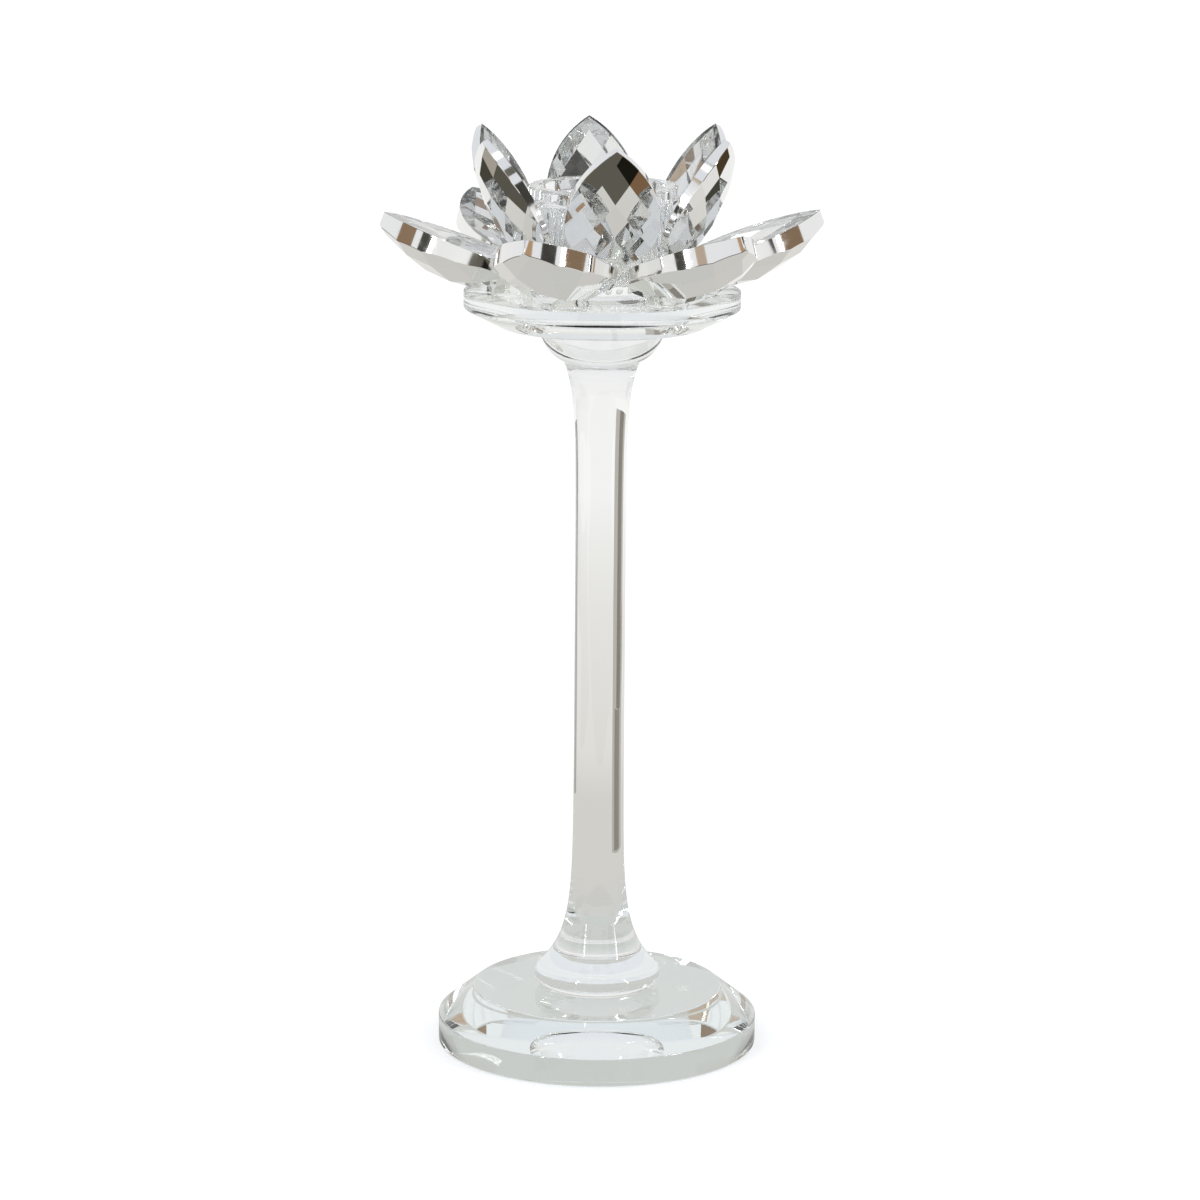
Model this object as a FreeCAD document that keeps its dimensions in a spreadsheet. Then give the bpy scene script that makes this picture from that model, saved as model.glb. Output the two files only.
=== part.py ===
import FreeCAD, Part
import math
import os
import Sketcher

# A lotus candlestick of clear pressed glass: a bevelled foot disc, a drawn glass rod, a bevelled dish,
# a fluted cup for a tealight, and two rings of six faceted petals, all held by clear adhesive.
# Millimetres, +Z up, origin at the centre of the underside, petals counted from the front (-Y) towards +X.

STEM_STEPS = 40        # points that carry the stem's drawn curve
PETALS = 6             # petals in each ring
LATTICE = 5            # facet rows and columns to each side of the middle facet
CROWN_SKIRT = 40       # depth of a crown block under its facets
GROOVE_MARGIN = 0.001  # smallest volume change that counts as a cut

doc = FreeCAD.newDocument("lotus_candlestick")

# ---------------------------------------------------------------- driving sizes

SIZES = [
    ("base_radius", 52.5, "foot disc, outside"),
    ("base_band", 9.0, "height of the foot disc's upright edge"),
    ("base_bevel_radius", 40.8, "where the foot disc's bevel meets its flat top"),
    ("base_height", 18.3, "foot disc, total height"),
    ("film", 0.2, "thickness of the adhesive between flat faces"),
    ("rod_radius", 8.25, "stem at mid height"),
    ("bead_radius", 4.4, "round bead at the stem's foot"),
    ("bead_centre", 16.3, "distance of the bead's middle from the axis"),
    ("foot_flare", 10.2, "how far the stem widens above its bead"),
    ("foot_flare_reach", 10.7, "height in which the foot flare fades by a factor e"),
    ("head_start", 227.8, "height where the stem's flare turns into its head"),
    ("head_flare", 4.15, "how far the stem widens under its head"),
    ("head_flare_reach", 9.6, "height in which the head flare fades by a factor e"),
    ("head_radius", 20.3, "stem head, where the dish sits on it"),
    ("head_belly_radius", 17.9, "stem head, half way up its curve"),
    ("head_belly_drop", 7.2, "from the top of the head to the middle of its curve"),
    ("head_lip", 1.2, "upright edge of the stem's head"),
    ("stem_top", 239.6, "top of the stem"),
    ("dish_foot_radius", 33.7, "flat underside of the dish"),
    ("dish_radius", 44.6, "dish, outside"),
    ("dish_bevel", 5.7, "height of the dish's sloping underside"),
    ("dish_band", 5.2, "height of the dish's upright edge"),
    ("cup_foot_radius", 21.4, "cup, flat underside"),
    ("cup_body_radius", 22.4, "cup, fluted wall"),
    ("cup_rim_radius", 23.9, "cup, plain rim"),
    ("cup_height", 33.9, "cup, total height"),
    ("cup_rim_height", 5.2, "plain rim of the cup"),
    ("cup_rim_step", 1.0, "height of the slope from the fluted wall out to the rim"),
    ("cup_foot_chamfer", 1.4, "bevel at the foot of the cup"),
    ("bore_radius", 20.0, "seat for a tealight"),
    ("bore_depth", 30.0, "depth of the tealight's seat"),
    ("rim_round", 0.9, "rounding at the top of the rim"),
    ("flutes", 40, "flutes round the cup"),
    ("flute_radius", 1.1, "radius of one flute"),
    ("flute_depth", 0.6, "how deep a flute is pressed"),
    ("flute_margin", 2.2, "plain glass above and below the flutes"),
    ("upper_length", 42.6, "standing petal, tip to root"),
    ("upper_half_width", 15.15, "standing petal"),
    ("upper_thickness", 6.8, "standing petal, through its middle facet"),
    ("upper_facet_step", 0.35, "drop from one facet corner to the next"),
    ("upper_facet_across", 4.28, "half a facet, across"),
    ("upper_facet_along", 6.36, "half a facet, lengthways"),
    ("upper_facet_middle", 23.2, "middle facet, distance from the tip"),
    ("upper_tip_radius", 42.7, "standing petal's tip, from the axis"),
    ("upper_tip_height", 302.0, "standing petal's tip"),
    ("upper_rise", 64.3, "standing petal, degrees above level"),
    ("lower_length", 50.0, "open petal, tip to root"),
    ("lower_half_width", 19.0, "open petal"),
    ("lower_thickness", 13.0, "open petal, through its middle facet"),
    ("lower_facet_step", 0.79, "drop from one facet corner to the next"),
    ("lower_facet_across", 5.7, "half a facet, across"),
    ("lower_facet_along", 8.0, "half a facet, lengthways"),
    ("lower_facet_middle", 27.0, "middle facet, distance from the tip"),
    ("lower_tip_radius", 70.0, "open petal's tip, from the axis"),
    ("lower_tip_height", 276.5, "open petal's tip"),
    ("lower_rise", 20.7, "open petal, degrees above level"),
    ("upper_bead_radius", 4.4, "adhesive bead at a standing petal's root"),
    ("upper_bead_ring", 27.0, "its distance from the axis"),
    ("upper_bead_height", 260.0, "height of its middle"),
    ("lower_bead_foot", 6.5, "adhesive under an open petal, where it meets the dish"),
    ("lower_bead_top", 5.0, "the same adhesive, against the petal"),
    ("lower_bead_rise", 3.4, "its height before the petal is pressed in"),
    ("lower_bead_ring", 31.0, "its distance from the axis"),
]

# Sizes that follow from the ones above. Cup heights count from the cup's own underside.
DERIVED = [
    ("stem_foot", "=base_height + film", "underside of the stem"),
    ("dish_floor", "=stem_top + film", "underside of the dish"),
    ("dish_shoulder", "=dish_floor + dish_bevel", "where the dish's slope meets its upright edge"),
    ("dish_top", "=dish_shoulder + dish_band", "top of the dish"),
    ("cup_foot", "=dish_top + film", "underside of the cup"),
    ("cup_rim_foot", "=cup_height - cup_rim_height", "top of the fluted wall"),
    ("cup_rim_side", "=cup_rim_foot + cup_rim_step", "foot of the rim's upright side"),
    ("bore_floor", "=cup_height - bore_depth", "floor of the tealight's seat"),
    ("flute_ring", "=cup_body_radius + flute_radius - flute_depth", "a flute's middle, from the axis"),
    ("flute_top", "=cup_rim_foot - flute_margin", "top of the flutes"),
    ("flute_length", "=flute_top - cup_foot_chamfer - flute_margin", "length of the flutes"),
    ("upper_middle", "=upper_length - upper_half_width", "tip to the middle of the round root"),
    ("lower_middle", "=lower_length - lower_half_width", "tip to the middle of the round root"),
]

# Petals are stuck on by hand, so their turns differ a little from sixty degrees.
UPPER_TURNS = [0, 58, 117, 181, 241, 296]
LOWER_TURNS = [-25, 33, 90, 155, 213, 270]

sheet = doc.addObject("Spreadsheet::Sheet", "Sizes")


def fill_sheet():
    rows = SIZES + DERIVED
    rows += [("upper_turn_%d" % (k + 1), turn, "standing petal, degrees round the axis")
             for k, turn in enumerate(UPPER_TURNS)]
    rows += [("lower_turn_%d" % (k + 1), turn, "open petal, degrees round the axis")
             for k, turn in enumerate(LOWER_TURNS)]
    for row, (alias, value, note) in enumerate(rows, start=1):
        sheet.set("A%d" % row, alias)
        sheet.set("B%d" % row, str(value))
        sheet.setAlias("B%d" % row, alias)
        sheet.set("C%d" % row, note)
    doc.recompute()


def size(alias):
    return float(sheet.get(alias))


# ---------------------------------------------------------------- helpers

def origin_plane(body, role):
    for feature in body.Origin.OriginFeatures:
        if feature.Role == role:
            return feature
    raise ValueError("no plane called " + role)


def new_body(label):
    body = doc.addObject("PartDesign::Body", label)
    body.Label = label
    return body


def bind(sketch, kind, geometry, point, expression):
    """Hold one coordinate of a point at a value worked out from the sheet."""
    number = sketch.addConstraint(Sketcher.Constraint(kind, -1, 1, geometry, point, 1.0))
    sketch.setExpression("Constraints[%d]" % number, expression)


def outline_sketch(body, name, role, corners):
    """A closed outline of straight edges. Each corner is a pair of sizes by name, None on an axis."""
    sketch = body.newObject("Sketcher::SketchObject", name)
    sketch.AttachmentSupport = (origin_plane(body, role), [""])
    sketch.MapMode = "FlatFace"
    count = len(corners)
    rough = [FreeCAD.Vector(*[0 if alias is None else size(alias) for alias in corner])
             for corner in corners]
    for k in range(count):
        sketch.addGeometry(Part.LineSegment(rough[k], rough[(k + 1) % count]), False)
    for k in range(count):
        sketch.addConstraint(Sketcher.Constraint("Coincident", k, 2, (k + 1) % count, 1))
    for k, (across, along) in enumerate(corners):
        if across is None:
            sketch.addConstraint(Sketcher.Constraint("PointOnObject", k, 1, -2))
        else:
            bind(sketch, "DistanceX", k, 1, cell(across))
        if along is None:
            sketch.addConstraint(Sketcher.Constraint("PointOnObject", k, 1, -1))
        else:
            bind(sketch, "DistanceY", k, 1, cell(along))
    return sketch


def cell(alias):
    """The expression that stands for one size."""
    return "Sizes." + alias


def turned_body(label, corners):
    """A solid of revolution about Z. The corners are (radius, height) pairs of sizes by name."""
    body = new_body(label)
    sketch = outline_sketch(body, label + "_profile", "XZ_Plane", corners)
    turn = body.newObject("PartDesign::Revolution", label + "_turned")
    turn.Profile = sketch
    turn.ReferenceAxis = (sketch, ["V_Axis"])
    turn.Angle = 360
    sketch.Visibility = False
    doc.recompute()
    return body


def ring_edges(shape, height, radius):
    """Names of the circular edges of that height and radius."""
    names = []
    for number, edge in enumerate(shape.Edges, start=1):
        curve = edge.Curve
        if not isinstance(curve, Part.Circle):
            continue
        if abs(curve.Center.z - height) < 1e-4 and abs(curve.Radius - radius) < 1e-4:
            names.append("Edge%d" % number)
    return names


# ---------------------------------------------------------------- foot disc, dish and adhesive films

def make_base_disc():
    return turned_body("base_disc", [
        (None, None),
        ("base_radius", None),
        ("base_radius", "base_band"),
        ("base_bevel_radius", "base_height"),
        (None, "base_height")])


def make_petal_dish():
    return turned_body("petal_dish", [
        (None, "dish_floor"),
        ("dish_foot_radius", "dish_floor"),
        ("dish_radius", "dish_shoulder"),
        ("dish_radius", "dish_top"),
        (None, "dish_top")])


def make_film(label, radius, height):
    """A disc of clear adhesive between two flat faces."""
    film = doc.addObject("Part::Cylinder", label)
    film.Label = label
    film.setExpression("Radius", cell(radius))
    film.setExpression("Height", cell("film"))
    film.setExpression("Placement.Base.z", cell(height))
    return film


# ---------------------------------------------------------------- stem

def flare_radius(height, foot_flare_height):
    """Radius of the drawn rod, which widens at both ends as hot glass does."""
    foot = size("foot_flare") * math.exp((foot_flare_height - height) / size("foot_flare_reach"))
    head = size("head_flare") * math.exp((height - size("head_start")) / size("head_flare_reach"))
    return size("rod_radius") + foot + head


def make_stem():
    """The rod with its bead and its head, one piece of glass. Its curve is a formula, not an arc."""
    foot = size("stem_foot")
    bead = size("bead_radius")
    bead_middle = FreeCAD.Vector(size("bead_centre"), 0, foot + bead)

    # The flare leaves the bead where the bead's circle has the flare's own radius.
    shoulder = math.radians(60)
    flare_start = foot + bead + bead * math.sin(shoulder)
    shoulder_radius = size("bead_centre") + bead * math.cos(shoulder)

    bead_foot = FreeCAD.Vector(size("bead_centre"), 0, foot)
    bead_side = bead_middle + FreeCAD.Vector(bead, 0, 0)
    bead_top = FreeCAD.Vector(shoulder_radius, 0, flare_start)
    bead_arc = Part.Arc(bead_foot, bead_side, bead_top)

    points = [bead_top]
    for step in range(1, STEM_STEPS + 1):
        share = step / STEM_STEPS
        height = flare_start + (size("head_start") - flare_start) * share
        points.append(FreeCAD.Vector(flare_radius(height, flare_start), 0, height))
    curve = Part.BSplineCurve()
    curve.interpolate(points)

    top = size("stem_top")
    belly = FreeCAD.Vector(size("head_belly_radius"), 0, top - size("head_belly_drop"))
    lip = FreeCAD.Vector(size("head_radius"), 0, top - size("head_lip"))
    rim = FreeCAD.Vector(size("head_radius"), 0, top)
    head_arc = Part.Arc(points[-1], belly, lip)

    edges = [
        Part.makeLine(FreeCAD.Vector(0, 0, foot), bead_foot),
        bead_arc.toShape(),
        curve.toShape(),
        head_arc.toShape(),
        Part.makeLine(lip, rim),
        Part.makeLine(rim, FreeCAD.Vector(0, 0, top)),
        Part.makeLine(FreeCAD.Vector(0, 0, top), FreeCAD.Vector(0, 0, foot))]
    profile = Part.Face(Part.Wire(edges))
    stem = doc.addObject("Part::Feature", "stem")
    stem.Label = "stem"
    stem.Shape = profile.revolve(FreeCAD.Vector(), FreeCAD.Vector(0, 0, 1), 360)
    return stem


# ---------------------------------------------------------------- cup

def make_candle_cup():
    body = turned_body("candle_cup", [
        (None, None),
        ("cup_foot_radius", None),
        ("cup_body_radius", "cup_foot_chamfer"),
        ("cup_body_radius", "cup_rim_foot"),
        ("cup_rim_radius", "cup_rim_side"),
        ("cup_rim_radius", "cup_height"),
        ("bore_radius", "cup_height"),
        ("bore_radius", "bore_floor"),
        (None, "bore_floor")])

    turned = body.Tip
    height = size("cup_height")
    edges = ring_edges(turned.Shape, height, size("cup_rim_radius"))
    edges += ring_edges(turned.Shape, height, size("bore_radius"))
    rounding = body.newObject("PartDesign::Fillet", "cup_rim_rounding")
    rounding.Base = (turned, edges)
    rounding.setExpression("Radius", cell("rim_round"))
    doc.recompute()

    plain = body.Shape.Volume
    flute = body.newObject("Sketcher::SketchObject", "flute_outline")
    flute.AttachmentSupport = (origin_plane(body, "XY_Plane"), [""])
    flute.MapMode = "FlatFace"
    flute.setExpression("AttachmentOffset.Base.z", cell("flute_top"))
    middle = FreeCAD.Vector(size("flute_ring"), 0)
    flute.addGeometry(Part.Circle(middle, FreeCAD.Vector(0, 0, 1), size("flute_radius")), False)
    flute.addConstraint(Sketcher.Constraint("PointOnObject", 0, 3, -1))
    bind(flute, "DistanceX", 0, 3, cell("flute_ring"))
    number = flute.addConstraint(Sketcher.Constraint("Radius", 0, 1.0))
    flute.setExpression("Constraints[%d]" % number, cell("flute_radius"))

    pocket = body.newObject("PartDesign::Pocket", "flute")
    pocket.Profile = flute
    pocket.setExpression("Length", cell("flute_length"))
    doc.recompute()
    if body.Shape.Volume > plain - GROOVE_MARGIN:
        raise ValueError("the flute cuts nothing")

    pattern = body.newObject("PartDesign::PolarPattern", "flutes")
    pattern.Originals = [pocket]
    pattern.Axis = (flute, ["N_Axis"])
    pattern.Angle = 360
    pattern.setExpression("Occurrences", cell("flutes"))
    body.Tip = pattern
    body.setExpression("Placement.Base.z", cell("cup_foot"))
    doc.recompute()
    return body


# ---------------------------------------------------------------- petals

def petal_blank(name, kind):
    """A leaf outline, tip at the origin and root along +Y, drawn out to its full thickness."""
    half = size(kind + "_half_width")
    middle = size(kind + "_middle")
    side = (middle ** 2 + half ** 2) / (2 * half)
    spread = math.asin(middle / side)
    axis = FreeCAD.Vector(0, 0, 1)

    sketch = doc.addObject("Sketcher::SketchObject", name + "_outline")
    root = Part.Circle(FreeCAD.Vector(0, middle), axis, half)
    right = Part.Circle(FreeCAD.Vector(half - side, middle), axis, side)
    left = Part.Circle(FreeCAD.Vector(side - half, middle), axis, side)
    sketch.addGeometry(Part.ArcOfCircle(root, 0, math.pi), False)
    sketch.addGeometry(Part.ArcOfCircle(right, -spread, 0), False)
    sketch.addGeometry(Part.ArcOfCircle(left, math.pi, math.pi + spread), False)
    sketch.addConstraint(Sketcher.Constraint("PointOnObject", 0, 3, -2))
    bind(sketch, "DistanceY", 0, 3, cell(kind + "_middle"))
    number = sketch.addConstraint(Sketcher.Constraint("Radius", 0, half))
    sketch.setExpression("Constraints[%d]" % number, cell(kind + "_half_width"))
    sketch.addConstraint(Sketcher.Constraint("Horizontal", 0, 3, 0, 1))
    sketch.addConstraint(Sketcher.Constraint("Horizontal", 0, 3, 0, 2))
    sketch.addConstraint(Sketcher.Constraint("Tangent", 1, 2, 0, 1))
    sketch.addConstraint(Sketcher.Constraint("Tangent", 2, 1, 0, 2))
    sketch.addConstraint(Sketcher.Constraint("Coincident", 1, 1, -1, 1))
    sketch.addConstraint(Sketcher.Constraint("Coincident", 2, 2, -1, 1))

    blank = doc.addObject("Part::Extrusion", name + "_blank")
    blank.Base = sketch
    blank.Dir = axis
    blank.Solid = True
    blank.setExpression("LengthFwd", cell(kind + "_thickness"))
    return blank


def petal_crown(name, kind):
    """A block whose top is a lattice of flat diamond facets, each touching one shallow bowl shape.

    Corners lie at the odd places of a grid and facets at the even ones. A corner sinks by the facet
    step times the square of its row and column, which keeps every facet's four corners in one plane.
    """
    across = size(kind + "_facet_across")
    along = size(kind + "_facet_along")
    step = size(kind + "_facet_step")
    middle = size(kind + "_facet_middle")
    thickness = size(kind + "_thickness")

    def corner(row, column):
        height = thickness + step * (1 - row ** 2 - column ** 2)
        return FreeCAD.Vector(column * across, middle + row * along, height)

    prisms = []
    for row in range(-LATTICE, LATTICE + 1):
        for column in range(-LATTICE, LATTICE + 1):
            if (row + column) % 2:
                continue
            facet = [corner(row - 1, column), corner(row, column + 1),
                     corner(row + 1, column), corner(row, column - 1)]
            face = Part.Face(Part.makePolygon(facet + [facet[0]]))
            prisms.append(face.extrude(FreeCAD.Vector(0, 0, -CROWN_SKIRT)))
    crown = doc.addObject("Part::Feature", name + "_crown")
    crown.Shape = prisms[0].fuse(prisms[1:]).removeSplitter()
    return crown


def petal_placement(kind, turn):
    """Stand a petal on its ring: its tip out and up, its flat face inwards, its facets outwards."""
    rise = math.radians(size(kind + "_rise"))
    round_axis = math.radians(turn)
    outward = FreeCAD.Vector(math.sin(round_axis), -math.cos(round_axis), 0)
    up = FreeCAD.Vector(0, 0, 1)
    sideways = up.cross(outward)
    to_tip = outward * math.cos(rise) + up * math.sin(rise)
    facing = outward * math.sin(rise) - up * math.cos(rise)
    tip = outward * size(kind + "_tip_radius") + up * size(kind + "_tip_height")
    rotation = FreeCAD.Rotation(sideways * -1, to_tip * -1, facing, "XYZ")
    return FreeCAD.Placement(tip, rotation)


def make_petals(kind):
    petals = []
    for number in range(1, PETALS + 1):
        name = "%s_petal_%d" % (kind, number)
        petal = doc.addObject("Part::Common", name)
        petal.Label = name
        petal.Base = petal_blank(name, kind)
        petal.Tool = petal_crown(name, kind)
        petal.Placement = petal_placement(kind, size("%s_turn_%d" % (kind, number)))
        petals.append(petal)
    doc.recompute()
    return petals


# ---------------------------------------------------------------- adhesive at the petals' roots

def ring_point(radius, turn, height):
    angle = math.radians(turn)
    return FreeCAD.Vector(radius * math.sin(angle), -radius * math.cos(angle), height)


def cut_bead(bead, name, neighbours):
    """Press the neighbouring petals into a bead, so that it meets them face to face."""
    pressed = doc.addObject("Part::Cut", name)
    pressed.Base = bead
    group = doc.addObject("Part::Compound", name + "_neighbours")
    group.Links = neighbours
    pressed.Tool = group
    return pressed


def make_lower_bonds(lower):
    beads = []
    for number, petal in enumerate(lower, start=1):
        bead = doc.addObject("Part::Cone", "lower_bead_%d" % number)
        bead.setExpression("Radius1", cell("lower_bead_foot"))
        bead.setExpression("Radius2", cell("lower_bead_top"))
        bead.setExpression("Height", cell("lower_bead_rise"))
        turn = size("lower_turn_%d" % number)
        place = ring_point(size("lower_bead_ring"), turn, size("dish_top"))
        bead.Placement = FreeCAD.Placement(place, FreeCAD.Rotation())
        beads.append(cut_bead(bead, "lower_bond_%d" % number, [petal]))
    return bond_group("lower_petal_bonds", beads)


def make_upper_bonds(upper, lower):
    beads = []
    for number, petal in enumerate(upper, start=1):
        bead = doc.addObject("Part::Sphere", "upper_bead_%d" % number)
        bead.setExpression("Radius", cell("upper_bead_radius"))
        turn = size("upper_turn_%d" % number)
        place = ring_point(size("upper_bead_ring"), turn, size("upper_bead_height"))
        bead.Placement = FreeCAD.Placement(place, FreeCAD.Rotation())
        sides = [lower[number - 1], lower[number % PETALS]]
        beads.append(cut_bead(bead, "upper_bond_%d" % number, [petal] + sides))
    return bond_group("upper_petal_bonds", beads)


def bond_group(label, beads):
    group = doc.addObject("Part::Compound", label)
    group.Label = label
    group.Links = beads
    doc.recompute()
    return group


# ---------------------------------------------------------------- the whole object

def check(parts):
    for item in doc.Objects:
        if "Invalid" in item.State or "Error" in item.State:
            raise ValueError(item.Name + " did not build")
    for part in parts:
        if part.Shape.isNull() or not part.Shape.isValid() or not part.Shape.Solids:
            raise ValueError(part.Label + " has no valid solid")


def write(parts):
    os.makedirs("parts", exist_ok=True)
    for part in parts:
        part.Shape.exportStep("parts/" + part.Label + ".step")
        print("%-18s %2d solid(s) %10.1f mm3" % (part.Label, len(part.Shape.Solids), part.Shape.Volume))


fill_sheet()
upper_petals = make_petals("upper")
lower_petals = make_petals("lower")
parts = [
    make_base_disc(),
    make_film("foot_bond", "bead_centre", "base_height"),
    make_stem(),
    make_film("head_bond", "head_radius", "stem_top"),
    make_petal_dish(),
    make_film("cup_bond", "cup_foot_radius", "dish_top"),
    make_candle_cup()]
parts += lower_petals
parts += upper_petals
parts.append(make_lower_bonds(lower_petals))
parts.append(make_upper_bonds(upper_petals, lower_petals))
doc.recompute()
check(parts)
write(parts)
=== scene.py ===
import bmesh
import bpy
import math
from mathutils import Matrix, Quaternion, Vector


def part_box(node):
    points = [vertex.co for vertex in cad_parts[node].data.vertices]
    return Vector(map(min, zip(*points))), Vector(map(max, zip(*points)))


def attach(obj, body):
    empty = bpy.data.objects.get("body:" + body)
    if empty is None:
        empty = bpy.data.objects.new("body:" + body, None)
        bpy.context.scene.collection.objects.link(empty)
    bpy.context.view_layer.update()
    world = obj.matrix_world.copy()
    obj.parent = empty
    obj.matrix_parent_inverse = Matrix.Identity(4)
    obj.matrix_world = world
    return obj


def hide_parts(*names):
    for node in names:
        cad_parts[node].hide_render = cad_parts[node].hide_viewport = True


# Lotus candlestick of clear glass. Blender works in metres; sizes below are written in millimetres.

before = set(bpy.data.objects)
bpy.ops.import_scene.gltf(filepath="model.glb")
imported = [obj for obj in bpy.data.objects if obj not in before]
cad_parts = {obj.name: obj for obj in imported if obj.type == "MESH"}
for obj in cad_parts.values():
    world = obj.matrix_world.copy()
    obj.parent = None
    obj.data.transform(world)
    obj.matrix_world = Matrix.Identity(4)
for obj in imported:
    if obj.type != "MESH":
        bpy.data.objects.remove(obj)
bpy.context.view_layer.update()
MM = 0.001


def box_mm(node):
    low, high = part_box(node)
    return low / MM, high / MM


# ---------------------------------------------------------------- sizes, from the frame where it has them

BASE_LOW, BASE_HIGH = box_mm("base_disc")
FOOT_BOND_LOW, FOOT_BOND_HIGH = box_mm("foot_bond")
STEM_LOW, STEM_HIGH = box_mm("stem")
HEAD_BOND_LOW, HEAD_BOND_HIGH = box_mm("head_bond")
DISH_LOW, DISH_HIGH = box_mm("petal_dish")
CUP_BOND_LOW, CUP_BOND_HIGH = box_mm("cup_bond")
CUP_LOW, CUP_HIGH = box_mm("candle_cup")

BASE_BAND = 9.0             # height of the foot disc's upright edge
BASE_BEVEL_RADIUS = 40.8    # where its bevel meets its flat top
ROD_RADIUS = 8.25           # stem at mid height
BEAD_RADIUS = 4.4           # round bead at the stem's foot
FOOT_FLARE = 10.2           # how far the stem widens above its bead
FOOT_FLARE_REACH = 10.7     # height in which that fades by a factor e
HEAD_START = 227.8          # height where the stem turns into its head
HEAD_FLARE = 4.15           # how far it widens under its head
HEAD_FLARE_REACH = 9.6      # height in which that fades by a factor e
HEAD_BELLY_RADIUS = 17.9    # stem head, half way up its curve
HEAD_BELLY_DROP = 7.2       # from the top of the head down to there
HEAD_LIP = 1.2              # upright edge of the stem's head
DISH_FOOT_RADIUS = 33.7     # flat underside of the dish
DISH_BEVEL = 5.7            # height of its sloping underside
CUP_WALL_RADIUS = 22.4      # cup, fluted wall
CUP_RIM_HEIGHT = 5.2        # plain rim of the cup
CUP_FOOT_CHAMFER = 1.4      # bevel at its foot
BORE_RADIUS = 20.0          # seat for a tealight
BORE_DEPTH = 30.0           # depth of that seat
RIM_ROUND = 0.9             # rounding at the top of the rim
FLUTES = 40                 # flutes round the cup
FLUTE_RADIUS = 1.1          # radius of one flute
FLUTE_DEPTH = 0.6           # how deep a flute is pressed
FLUTE_MARGIN = 2.2          # plain glass above and below the flutes
PETALS = 6                  # petals in each ring

SOFT_EDGE = 0.35            # polished-off corner of pressed glass
GRIND = 0.12                # polished-off corner of a cut petal
BEAD_CLEARANCE = 0.03       # keeps an adhesive bead's skin off the glass that it touches
FLOOR_GAP = 0.15            # air under the foot, so that its underside mirrors as glass on a table does
RINGS = 256                 # divisions round a turned piece
BEAD_STEPS = 28             # divisions along the stem's bead, rod and head
ROD_STEPS = 140
HEAD_STEPS = 24


# ---------------------------------------------------------------- outlines

def softened(corners, radius=SOFT_EDGE, steps=4):
    """The outline with every corner but the first and last rounded off. A corner may state its own radius."""
    points = [Vector(corners[0][:2])]
    for before, corner, after in zip(corners, corners[1:], corners[2:]):
        reach = corner[2] if len(corner) == 3 else radius
        middle = Vector(corner[:2])
        if reach == 0:
            points.append(middle)
            continue
        start = middle + (Vector(before[:2]) - middle).normalized() * reach
        end = middle + (Vector(after[:2]) - middle).normalized() * reach
        for step in range(steps + 1):
            share = step / steps
            points.append(start.lerp(middle, share).lerp(middle.lerp(end, share), share))
    points.append(Vector(corners[-1][:2]))
    return points


def arc_through(start, middle, end, steps):
    """Points on the circle through three points, both ends included."""
    a, b, c = Vector(start), Vector(middle), Vector(end)
    turn = 2 * (a.x * (b.y - c.y) + b.x * (c.y - a.y) + c.x * (a.y - b.y))
    centre = Vector((
        (a.dot(a) * (b.y - c.y) + b.dot(b) * (c.y - a.y) + c.dot(c) * (a.y - b.y)) / turn,
        (a.dot(a) * (c.x - b.x) + b.dot(b) * (a.x - c.x) + c.dot(c) * (b.x - a.x)) / turn))
    radius = (a - centre).length
    first = math.atan2(a.y - centre.y, a.x - centre.x)
    last = math.atan2(c.y - centre.y, c.x - centre.x)
    return [centre + radius * Vector((math.cos(first + (last - first) * k / steps),
                                      math.sin(first + (last - first) * k / steps)))
            for k in range(steps + 1)]


def stem_outline():
    """Round bead, rod that widens towards both ends, and the curved head with its short upright lip."""
    foot, top = STEM_LOW.z, STEM_HIGH.z
    bead_centre = FOOT_BOND_HIGH.x
    shoulder = math.radians(60)
    flare_start = foot + BEAD_RADIUS * (1 + math.sin(shoulder))
    points = [Vector((0, foot))]
    for step in range(BEAD_STEPS + 1):
        angle = -math.pi / 2 + (shoulder + math.pi / 2) * step / BEAD_STEPS
        points.append(Vector((bead_centre + BEAD_RADIUS * math.cos(angle),
                              foot + BEAD_RADIUS * (1 + math.sin(angle)))))
    for step in range(1, ROD_STEPS + 1):
        height = flare_start + (HEAD_START - flare_start) * step / ROD_STEPS
        radius = ROD_RADIUS
        radius += FOOT_FLARE * math.exp((flare_start - height) / FOOT_FLARE_REACH)
        radius += HEAD_FLARE * math.exp((height - HEAD_START) / HEAD_FLARE_REACH)
        points.append(Vector((radius, height)))
    head_radius = HEAD_BOND_HIGH.x
    points += arc_through(points[-1], (HEAD_BELLY_RADIUS, top - HEAD_BELLY_DROP),
                          (head_radius, top - HEAD_LIP), HEAD_STEPS)[1:]
    points += [Vector((head_radius, top)), Vector((0, top))]
    return points


# ---------------------------------------------------------------- meshes

def new_piece(name, mesh_builder, materials, nodes):
    """Turns a bmesh into a piece of the object that stands for some CAD nodes."""
    mesh = bpy.data.meshes.new(name)
    mesh_builder.to_mesh(mesh)
    mesh_builder.free()
    piece = bpy.data.objects.new(name, mesh)
    bpy.context.scene.collection.objects.link(piece)
    for material in materials:
        mesh.materials.append(material)
    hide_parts(*nodes)
    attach(piece, "root")
    return piece


def even_normals(piece):
    """Lets flat faces keep their own direction right up to their rounded edges."""
    weighted = piece.modifiers.new("even_normals", "WEIGHTED_NORMAL")
    weighted.keep_sharp = True
    weighted.weight = 100


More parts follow.
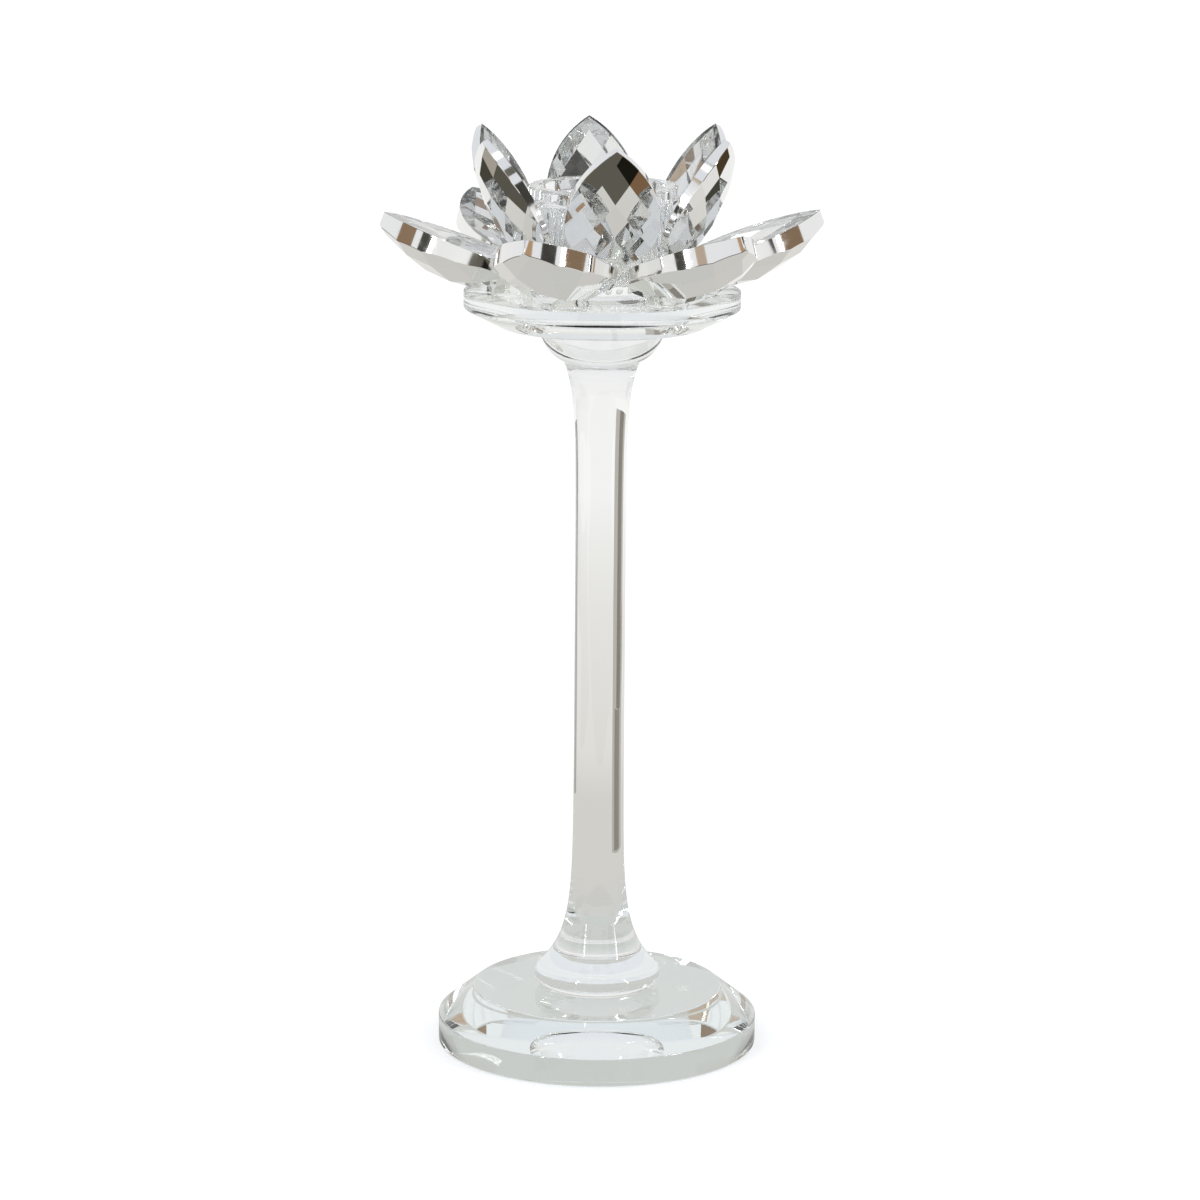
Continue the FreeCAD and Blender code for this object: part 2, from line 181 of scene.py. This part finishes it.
def turn_outline(outline, bonds=(), cut=None):
    """A closed surface of revolution. bonds are (height, radius) discs that are stuck to a neighbour and get
    the second material. cut gives the radius at an angle where the wall isn't round."""
    shape = bmesh.new()
    rows = []
    for radius, height in outline:
        if radius < 1e-6:
            rows.append([shape.verts.new((0, 0, height * MM))])
            continue
        row = []
        for k in range(RINGS):
            angle = 2 * math.pi * k / RINGS
            reach = cut(angle, radius, height) if cut else radius
            row.append(shape.verts.new((reach * math.cos(angle) * MM, reach * math.sin(angle) * MM,
                                        height * MM)))
        rows.append(row)
    for low, high, start, end in zip(rows, rows[1:], outline, outline[1:]):
        stuck = any(abs(start[1] - height) < 1e-3 and abs(end[1] - height) < 1e-3
                    and max(start[0], end[0]) < radius + 1e-3 for height, radius in bonds)
        for k in range(RINGS):
            after = (k + 1) % RINGS
            if len(low) == 1:
                corners = [low[0], high[after], high[k]]
            elif len(high) == 1:
                corners = [low[k], low[after], high[0]]
            else:
                corners = [low[k], low[after], high[after], high[k]]
            face = shape.faces.new(corners)
            face.smooth = True
            face.material_index = 1 if stuck else 0
    bmesh.ops.recalc_face_normals(shape, faces=shape.faces)
    return shape


def welded_copy(node):
    """A CAD node's surface with its split corners joined and its flat faces whole again."""
    shape = bmesh.new()
    shape.from_mesh(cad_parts[node].data)
    bmesh.ops.remove_doubles(shape, verts=shape.verts, dist=0.002 * MM)
    bmesh.ops.dissolve_limit(shape, angle_limit=math.radians(0.3), verts=shape.verts, edges=shape.edges)
    bmesh.ops.recalc_face_normals(shape, faces=shape.faces)
    return shape


# ---------------------------------------------------------------- materials

def new_material(name):
    material = bpy.data.materials.new(name)
    material.use_nodes = True
    tree = material.node_tree
    shader = tree.nodes["Principled BSDF"]
    return material, tree, shader


def add(tree, kind, **inputs):
    node = tree.nodes.new(kind)
    for name, value in inputs.items():
        node.inputs[name.replace("_", " ")].default_value = value
    return node


def surface_detail(tree, shader, stretch, scale, height, smear):
    """Faint waves left by the mould or by drawing, and patches of hand-polished haze."""
    place = add(tree, "ShaderNodeTexCoord")
    mapping = add(tree, "ShaderNodeMapping", Scale=stretch)
    tree.links.new(place.outputs["Object"], mapping.inputs["Vector"])
    waves = add(tree, "ShaderNodeTexNoise", Scale=scale, Detail=2.0, Roughness=0.4)
    tree.links.new(mapping.outputs["Vector"], waves.inputs["Vector"])
    bump = add(tree, "ShaderNodeBump", Strength=height, Distance=0.0004)
    tree.links.new(waves.outputs["Fac"], bump.inputs["Height"])
    tree.links.new(bump.outputs["Normal"], shader.inputs["Normal"])
    haze = add(tree, "ShaderNodeTexNoise", Scale=scale * 0.6, Detail=4.0, Roughness=0.6)
    tree.links.new(mapping.outputs["Vector"], haze.inputs["Vector"])
    level = add(tree, "ShaderNodeMapRange", From_Min=0.52, From_Max=0.8, To_Min=0.0, To_Max=smear)
    tree.links.new(haze.outputs["Fac"], level.inputs["Value"])
    tree.links.new(level.outputs["Result"], shader.inputs["Roughness"])


def glass(name, tint, ior, stretch=(1, 1, 1), scale=40.0, height=0.02, smear=0.012):
    material, tree, shader = new_material(name)
    shader.inputs["Base Color"].default_value = (*tint, 1)
    shader.inputs["Transmission Weight"].default_value = 1.0
    shader.inputs["IOR"].default_value = ior
    surface_detail(tree, shader, stretch, scale, height, smear)
    return material


SILVER_TONE = (0.885, 0.885, 0.875)
PINHOLE_TONE = (0.96, 0.96, 0.96)


def silvering(name, polish, wear):
    """A mirror coat seen from either side, with the fine pinholes that such a coat has. polish and wear are
    its least and greatest roughness."""
    material, tree, shader = new_material(name)
    shader.inputs["Metallic"].default_value = 1.0
    place = add(tree, "ShaderNodeTexCoord")
    pinholes = add(tree, "ShaderNodeTexNoise", Scale=2600.0, Detail=1.0)
    tree.links.new(place.outputs["Object"], pinholes.inputs["Vector"])
    speck = add(tree, "ShaderNodeValToRGB")
    speck.color_ramp.elements[0].position = 0.70
    speck.color_ramp.elements[0].color = (*SILVER_TONE, 1)
    speck.color_ramp.elements[1].position = 0.76
    speck.color_ramp.elements[1].color = (*PINHOLE_TONE, 1)
    tree.links.new(pinholes.outputs["Fac"], speck.inputs["Fac"])
    tree.links.new(speck.outputs["Color"], shader.inputs["Base Color"])
    haze = add(tree, "ShaderNodeTexNoise", Scale=300.0, Detail=3.0)
    tree.links.new(place.outputs["Object"], haze.inputs["Vector"])
    level = add(tree, "ShaderNodeMapRange", From_Min=0.5, From_Max=0.8, To_Min=polish, To_Max=wear)
    tree.links.new(haze.outputs["Fac"], level.inputs["Value"])
    tree.links.new(level.outputs["Result"], shader.inputs["Roughness"])
    return material


def bonded_face(name):
    """Glass wetted by adhesive of its own index shows no surface there."""
    material, tree, shader = new_material(name)
    clear = add(tree, "ShaderNodeBsdfTransparent")
    tree.links.new(clear.outputs["BSDF"], tree.nodes["Material Output"].inputs["Surface"])
    tree.nodes.remove(shader)
    return material


FOOT_GLASS = glass("foot_glass", (0.93, 0.975, 0.96), 1.52, scale=30.0)
STEM_GLASS = glass("drawn_glass", (0.98, 0.985, 0.98), 1.52, stretch=(1, 1, 0.12), scale=60.0, height=0.05)
DISH_GLASS = glass("dish_glass", (0.955, 0.98, 0.97), 1.52, scale=30.0)
CUP_GLASS = glass("pressed_glass", (0.98, 0.985, 0.985), 1.52, scale=90.0, height=0.06)
PETAL_GLASS = glass("cut_glass", (0.975, 0.985, 0.985), 1.54, scale=25.0, height=0.008, smear=0.006)
ADHESIVE = glass("clear_adhesive", (0.97, 0.975, 0.96), 1.49, scale=200.0, height=0.25, smear=0.05)
SILVER = silvering("silvered_facets", 0.01, 0.05)
GROUND_SILVER = silvering("silvered_edges", 0.06, 0.13)
BONDED = bonded_face("bonded_face")


# ---------------------------------------------------------------- turned pieces

def turned_piece(name, node, outline, material, bonds=(), cut=None):
    piece = new_piece(name, turn_outline(outline, bonds, cut), [material, BONDED], [node])
    even_normals(piece)
    return piece


def make_base():
    radius, height = BASE_HIGH.x, BASE_HIGH.z
    contact = FOOT_BOND_HIGH.x
    outline = softened([
        (0, BASE_LOW.z), (radius, BASE_LOW.z), (radius, BASE_BAND), (BASE_BEVEL_RADIUS, height),
        (contact, height, 0), (0, height)])
    turned_piece("base_disc_glass", "base_disc", outline, FOOT_GLASS, [(height, contact)])


def make_stem():
    turned_piece("stem_glass", "stem", stem_outline(), STEM_GLASS,
                 [(STEM_LOW.z, FOOT_BOND_HIGH.x), (STEM_HIGH.z, HEAD_BOND_HIGH.x)])


def make_dish():
    foot, top, radius = DISH_LOW.z, DISH_HIGH.z, DISH_HIGH.x
    outline = softened([
        (0, foot), (HEAD_BOND_HIGH.x, foot, 0), (DISH_FOOT_RADIUS, foot), (radius, foot + DISH_BEVEL),
        (radius, top), (CUP_BOND_HIGH.x, top, 0), (0, top)])
    turned_piece("petal_dish_glass", "petal_dish", outline, DISH_GLASS,
                 [(foot, HEAD_BOND_HIGH.x), (top, CUP_BOND_HIGH.x)])


def make_film(node, low, high):
    """Adhesive between two flat faces. Only its thin rim shows."""
    radius = high.x
    outline = [Vector((0, low.z)), Vector((radius, low.z)), Vector((radius, high.z)), Vector((0, high.z))]
    turned_piece(node + "_film", node, outline, ADHESIVE,
                 [(low.z, radius), (high.z, radius)])


def fluted(angle, radius, height):
    """The cup's wall, with round grooves pressed into it."""
    rim_foot = CUP_HIGH.z - CUP_RIM_HEIGHT
    top, foot = rim_foot - FLUTE_MARGIN, CUP_LOW.z + CUP_FOOT_CHAMFER + FLUTE_MARGIN
    if abs(radius - CUP_WALL_RADIUS) > 1e-3 or not foot - 1e-3 <= height <= top + 1e-3:
        return radius
    pitch = 2 * math.pi / FLUTES
    aside = ((angle + pitch / 2) % pitch - pitch / 2) * CUP_WALL_RADIUS
    if abs(aside) >= FLUTE_RADIUS:
        return radius
    groove_middle = CUP_WALL_RADIUS + FLUTE_RADIUS - FLUTE_DEPTH
    return min(radius, groove_middle - math.sqrt(FLUTE_RADIUS ** 2 - aside ** 2))


def make_cup():
    foot, top = CUP_LOW.z, CUP_HIGH.z
    rim_foot = top - CUP_RIM_HEIGHT
    bore_floor = top - BORE_DEPTH
    flute_foot = foot + CUP_FOOT_CHAMFER + FLUTE_MARGIN
    flute_top = rim_foot - FLUTE_MARGIN
    outline = softened([
        (0, foot), (CUP_BOND_HIGH.x, foot, 0), (CUP_WALL_RADIUS, foot + CUP_FOOT_CHAMFER),
        (CUP_WALL_RADIUS, flute_foot - 0.4, 0), (CUP_WALL_RADIUS, flute_foot, 0),
        (CUP_WALL_RADIUS, flute_top, 0), (CUP_WALL_RADIUS, flute_top + 0.4, 0),
        (CUP_WALL_RADIUS, rim_foot, 0.3), (CUP_HIGH.x, rim_foot + 1, 0.4), (CUP_HIGH.x, top, RIM_ROUND),
        (BORE_RADIUS, top, RIM_ROUND), (BORE_RADIUS, bore_floor, 1.2), (0, bore_floor)])
    turned_piece("candle_cup_glass", "candle_cup", outline, CUP_GLASS,
                 [(foot, CUP_BOND_HIGH.x)], fluted)


# ---------------------------------------------------------------- petals and adhesive beads

PETAL_MATERIALS = [PETAL_GLASS, SILVER, GROUND_SILVER]


def petal_material(outward):
    """Which of the petal's materials a face has, by how far it looks outward, from -1 to 1."""
    if outward < -0.6:
        return PETAL_MATERIALS.index(PETAL_GLASS)
    if outward > 0.6:
        return PETAL_MATERIALS.index(SILVER)
    return PETAL_MATERIALS.index(GROUND_SILVER)


def make_petal(node):
    """A cut petal: the flat inner face is bare, and the facets and the edge round them are silvered."""
    shape = welded_copy(node)
    inner = max(shape.faces, key=lambda face: face.calc_area())
    facing = -inner.normal.copy()
    for face in shape.faces:
        outward = face.normal.dot(facing)
        face.material_index = petal_material(outward)
        face.smooth = abs(outward) < 0.3
    for edge in shape.edges:
        if len(edge.link_faces) == 2:
            edge.smooth = edge.link_faces[0].smooth and edge.link_faces[1].smooth
    piece = new_piece(node + "_cut", shape, PETAL_MATERIALS, [node])
    bevel = piece.modifiers.new("ground_edges", "BEVEL")
    bevel.width = GRIND * MM
    bevel.segments = 1
    bevel.limit_method = "ANGLE"
    bevel.angle_limit = math.radians(40)


def make_beads(node):
    """Adhesive at the petals' roots, drawn in by a hair so that it stays clear of the glass."""
    shape = welded_copy(node)
    for face in shape.faces:
        face.smooth = True
    for vertex in shape.verts:
        vertex.co = vertex.co - vertex.normal * BEAD_CLEARANCE * MM
    new_piece(node + "_beads", shape, [ADHESIVE], [node])


# ---------------------------------------------------------------- stage, light and camera

def fill_ramp(ramp, stops):
    """Gives a two-stop colour ramp the (position, colour) stops of a list, in order."""
    for stop in stops[2:]:
        ramp.elements.new(stop[0])
    for element, (position, colour) in zip(ramp.elements, stops):
        element.position = position
        element.color = (*colour, 1)


# The table as the glass and the mirrors see it, as painted light and shade in an emission: painted shadow
# darkens it towards the foot, and it is white further off: (metres from the axis, colour).
FLOOR_PAINTED_SHADE = [
    (0.08, (0.61, 0.61, 0.59)),
    (0.15, (0.645, 0.630, 0.597)),
    (0.30, (0.650, 0.637, 0.605)),
    (0.38, (0.745, 0.735, 0.700)),
    (0.65, (0.820, 0.810, 0.790)),
    (0.95, (0.95, 0.95, 0.94)),
]


def floor_material():
    """White to the camera. To rays that bounced before, an emission of painted light and shade: light grey
    with painted shadow near the foot, and white further off.
    """
    material, tree, shader = new_material("pale_floor")
    shader.inputs["Base Color"].default_value = (0.93, 0.93, 0.93, 1)
    shader.inputs["Roughness"].default_value = 0.9
    shader.inputs["Specular IOR Level"].default_value = 0.0
    shader.inputs["Emission Color"].default_value = (1, 1, 1, 1)
    shader.inputs["Emission Strength"].default_value = 0.30
    place = add(tree, "ShaderNodeTexCoord")
    reach = add(tree, "ShaderNodeVectorMath")
    reach.operation = "LENGTH"
    tree.links.new(place.outputs["Object"], reach.inputs[0])
    # painted shade and light: bounced rays see the table as an emission that darkens towards the foot,
    # standing in for the shadow under it
    painted_shade_ramp = add(tree, "ShaderNodeValToRGB")
    fill_ramp(painted_shade_ramp.color_ramp, FLOOR_PAINTED_SHADE)
    tree.links.new(reach.outputs["Value"], painted_shade_ramp.inputs["Fac"])
    seen = add(tree, "ShaderNodeEmission", Strength=1.0)
    tree.links.new(painted_shade_ramp.outputs["Color"], seen.inputs["Color"])
    rays = add(tree, "ShaderNodeLightPath")
    mix = add(tree, "ShaderNodeMixShader")
    tree.links.new(rays.outputs["Is Camera Ray"], mix.inputs["Fac"])
    tree.links.new(seen.outputs["Emission"], mix.inputs[1])
    tree.links.new(shader.outputs["BSDF"], mix.inputs[2])
    tree.links.new(mix.outputs["Shader"], tree.nodes["Material Output"].inputs["Surface"])
    return material


def make_floor():
    """A plain pale round table."""
    shape = bmesh.new()
    bmesh.ops.create_circle(shape, cap_ends=True, segments=128, radius=14.0)
    for vertex in shape.verts:
        vertex.co.z = -FLOOR_GAP * MM
    mesh = bpy.data.meshes.new("floor")
    shape.to_mesh(mesh)
    shape.free()
    floor = bpy.data.objects.new("floor", mesh)
    bpy.context.scene.collection.objects.link(floor)
    mesh.materials.append(floor_material())


# Cards that stand for the unknown room in reflections. The camera sees none of them.

def hidden_card(name, colour, corners):
    """A flat card of one even colour that only bouncing rays see."""
    shape = bmesh.new()
    shape.faces.new([shape.verts.new(corner) for corner in corners])
    mesh = bpy.data.meshes.new(name)
    shape.to_mesh(mesh)
    shape.free()
    card = bpy.data.objects.new(name, mesh)
    bpy.context.scene.collection.objects.link(card)
    card.visible_camera = False
    card.visible_diffuse = False
    card.visible_shadow = False
    material, tree, shader = new_material(name)
    look = add(tree, "ShaderNodeEmission", Strength=1.0, Color=(*colour, 1))
    tree.links.new(look.outputs["Emission"], tree.nodes["Material Output"].inputs["Surface"])
    tree.nodes.remove(shader)
    mesh.materials.append(material)
    return card


def level_card(name, middle, spread, colour, height):
    corners = [(middle[0] + across * spread[0] / 2, middle[1] + along * spread[1] / 2, height)
               for across, along in ((-1, -1), (1, -1), (1, 1), (-1, 1))]
    return hidden_card(name, colour, corners)


# Dark cards on the table: middle (x, y) and size (x, y) in metres, and a colour.
TABLE_CARD_HEIGHT = 0.001
CARDS = [
    ("front_card", (-0.20, -1.42), (0.96, 2.10), (0.115, 0.108, 0.088)),
    ("front_right_card", (0.45, -0.44), (0.32, 0.24), (0.198, 0.119, 0.061)),
    ("black_card", (0.44, -1.00), (0.32, 0.86), (0.011, 0.010, 0.007)),
    ("left_near_card", (-0.60, -0.12), (0.42, 0.36), (0.103, 0.096, 0.078)),
    ("left_far_card", (-0.70, 0.42), (0.24, 0.70), (0.065, 0.061, 0.045)),
    ("left_tan_card", (-1.10, 0.35), (0.50, 0.70), (0.405, 0.367, 0.313)),
    ("right_near_card", (0.54, 0.21), (0.14, 0.22), (0.061, 0.059, 0.045)),
    ("right_far_card", (1.10, 0.30), (0.34, 0.44), (0.065, 0.044, 0.023)),
]


def make_table_card(name, middle, spread, colour):
    """A card that lies on the table. Mirrors see it, and clear glass doesn't."""
    card = level_card(name, middle, spread, colour, TABLE_CARD_HEIGHT)
    card.visible_transmission = False


# Wedges on the table beyond the stem, which draw the dark lines along its sides. Degrees round the axis from
# the back towards +X (from, to), metres from the axis (from, to), height and colour.
WEDGES = [
    ("back_left_wedge", (-39.5, -27.0), (0.45, 3.00), 0.0006, (0.165, 0.145, 0.115)),
    ("back_left_near_wedge", (-38.0, -23.0), (0.20, 0.45), 0.0006, (0.210, 0.190, 0.160)),
    ("back_left_soft_wedge", (-47.0, -18.0), (0.20, 3.00), 0.0003, (0.430, 0.410, 0.370)),
    ("right_wedge", (60.0, 80.0), (0.30, 2.40), 0.0003, (0.270, 0.262, 0.250)),
]


def make_wedge(name, turns, reach, height, colour):
    """A card on the table between two directions and two distances, which only clear glass sees."""
    near, far = reach
    first, last = [math.radians(turn) for turn in turns]
    corners = [(math.sin(angle) * away, math.cos(angle) * away, height)
               for angle, away in ((first, near), (last, near), (last, far), (first, far))]
    card = hidden_card(name, colour, corners)
    card.visible_glossy = False


# The room behind the camera, which the petals' edges reflect: cards between gaps of sky, all at one distance.
# Degrees from the front towards +X (from, to), height (from, to) and colour. Mirrors and glass both see them.
ROOM_DISTANCE = 2.4
ROOM = [
    ("room_left_brown", (-86.0, -66.0), (0.5, 2.2), (0.270, 0.180, 0.110)),
    ("room_left_dark", (-58.0, -45.0), (0.4, 1.8), (0.060, 0.058, 0.048)),
    ("room_left_tan", (-36.0, -26.0), (0.6, 2.4), (0.500, 0.400, 0.310)),
    ("room_right_tan", (10.0, 20.0), (0.6, 2.4), (0.460, 0.300, 0.170)),
    ("room_right_dark", (30.0, 46.0), (0.4, 2.0), (0.050, 0.048, 0.042)),
    ("room_right_brown", (56.0, 82.0), (0.5, 2.2), (0.240, 0.160, 0.100)),
]


def make_room_card(name, turns, heights, colour):
    """An upright card beyond the camera, between two directions and two heights."""
    low, high = heights
    first, last = [math.radians(turn) for turn in turns]
    corners = [(math.sin(angle) * ROOM_DISTANCE, -math.cos(angle) * ROOM_DISTANCE, height)
               for angle, height in ((first, low), (last, low), (last, high), (first, high))]
    hidden_card(name, colour, corners)


# The ceiling before the object, which the lower facets reflect by way of the open petals. Middle (x, y),
# size (x, y) and colour, all at one height. Mirrors and glass both see them.
CEILING_HEIGHT = 2.4
CEILING = [
    ("ceiling_left_olive", (-0.95, -0.75), (0.60, 0.50), (0.200, 0.195, 0.160)),
    ("ceiling_middle_dark", (-0.20, -1.30), (0.50, 0.50), (0.110, 0.105, 0.090)),
    ("ceiling_middle_light", (0.20, -0.70), (0.34, 0.30), (1.500, 1.520, 1.560)),
    ("ceiling_right_brown", (0.80, -0.75), (0.55, 0.45), (0.280, 0.200, 0.130)),
    ("ceiling_right_dark", (0.80, -1.60), (0.60, 0.50), (0.130, 0.125, 0.100)),
    ("ceiling_left_light", (-0.65, -1.40), (0.26, 0.50), (1.400, 1.430, 1.480)),
]


SKY = [(0.0, (0.92, 0.92, 0.91)), (0.7, (0.785, 0.805, 0.85))]    # (sine of the height angle, colour)


def make_world():
    """Soft even light from all round, a little cooler towards the top."""
    world = bpy.data.worlds.new("studio")
    bpy.context.scene.world = world
    world.use_nodes = True
    tree = world.node_tree
    background = tree.nodes["Background"]
    place = add(tree, "ShaderNodeTexCoord")
    parts = add(tree, "ShaderNodeSeparateXYZ")
    tree.links.new(place.outputs["Generated"], parts.inputs["Vector"])
    sky = add(tree, "ShaderNodeValToRGB")
    fill_ramp(sky.color_ramp, SKY)
    tree.links.new(parts.outputs["Z"], sky.inputs["Fac"])
    tree.links.new(sky.outputs["Color"], background.inputs["Color"])


def softbox(name, place, spread, power, aim):
    lamp = bpy.data.lights.new(name, "AREA")
    lamp.shape = "RECTANGLE"
    lamp.size, lamp.size_y = spread
    lamp.energy = power
    holder = bpy.data.objects.new(name, lamp)
    bpy.context.scene.collection.objects.link(holder)
    holder.location = place
    holder.rotation_euler = (Vector(aim) - Vector(place)).to_track_quat("-Z", "Y").to_euler()


def make_lights():
    """Two weak upright strips before the object, for thin highlights."""
    softbox("left_strip", (-1.1, -1.1, 0.75), (0.10, 1.0), 3.6, (0, 0, 0.15))
    softbox("right_strip", (1.2, -0.9, 0.75), (0.10, 1.0), 2.6, (0, 0, 0.15))


def make_camera():
    """The view that was fitted: a long lens, a little above, turned and rolled by hand-held amounts."""
    distance, height = 1.4822, 0.4831
    pitch, azimuth, roll = math.radians(12.71), math.radians(5.3), math.radians(0.435)
    data = bpy.data.cameras.new("camera")
    data.sensor_width = 36.0
    data.lens = 139.9
    data.clip_start, data.clip_end = 0.05, 60.0
    camera = bpy.data.objects.new("camera", data)
    bpy.context.scene.collection.objects.link(camera)
    camera.location = (-distance * math.sin(azimuth), -distance * math.cos(azimuth), height)
    look = Vector((math.sin(azimuth) * math.cos(pitch), math.cos(azimuth) * math.cos(pitch),
                   -math.sin(pitch)))
    camera.rotation_mode = "QUATERNION"
    camera.rotation_quaternion = look.to_track_quat("-Z", "Y") @ Quaternion((0, 0, 1), roll)
    bpy.context.scene.camera = camera


def set_light_paths():
    """Long paths, because a ray crosses many glass faces in the flower."""
    scene = bpy.context.scene
    scene.view_settings.view_transform = "Standard"
    scene.cycles.max_bounces = 28
    scene.cycles.transmission_bounces = 28
    scene.cycles.glossy_bounces = 16
    scene.cycles.transparent_max_bounces = 32


make_base()
make_stem()
make_dish()
make_cup()
make_film("foot_bond", FOOT_BOND_LOW, FOOT_BOND_HIGH)
make_film("head_bond", HEAD_BOND_LOW, HEAD_BOND_HIGH)
make_film("cup_bond", CUP_BOND_LOW, CUP_BOND_HIGH)
for number in range(1, PETALS + 1):
    make_petal("lower_petal_%d" % number)
    make_petal("upper_petal_%d" % number)
make_beads("lower_petal_bonds")
make_beads("upper_petal_bonds")

make_floor()
for card in CARDS:
    make_table_card(*card)
for wedge in WEDGES:
    make_wedge(*wedge)
for room_card in ROOM:
    make_room_card(*room_card)
for ceiling_card in CEILING:
    level_card(*ceiling_card, CEILING_HEIGHT)
make_world()
make_lights()
make_camera()
set_light_paths()
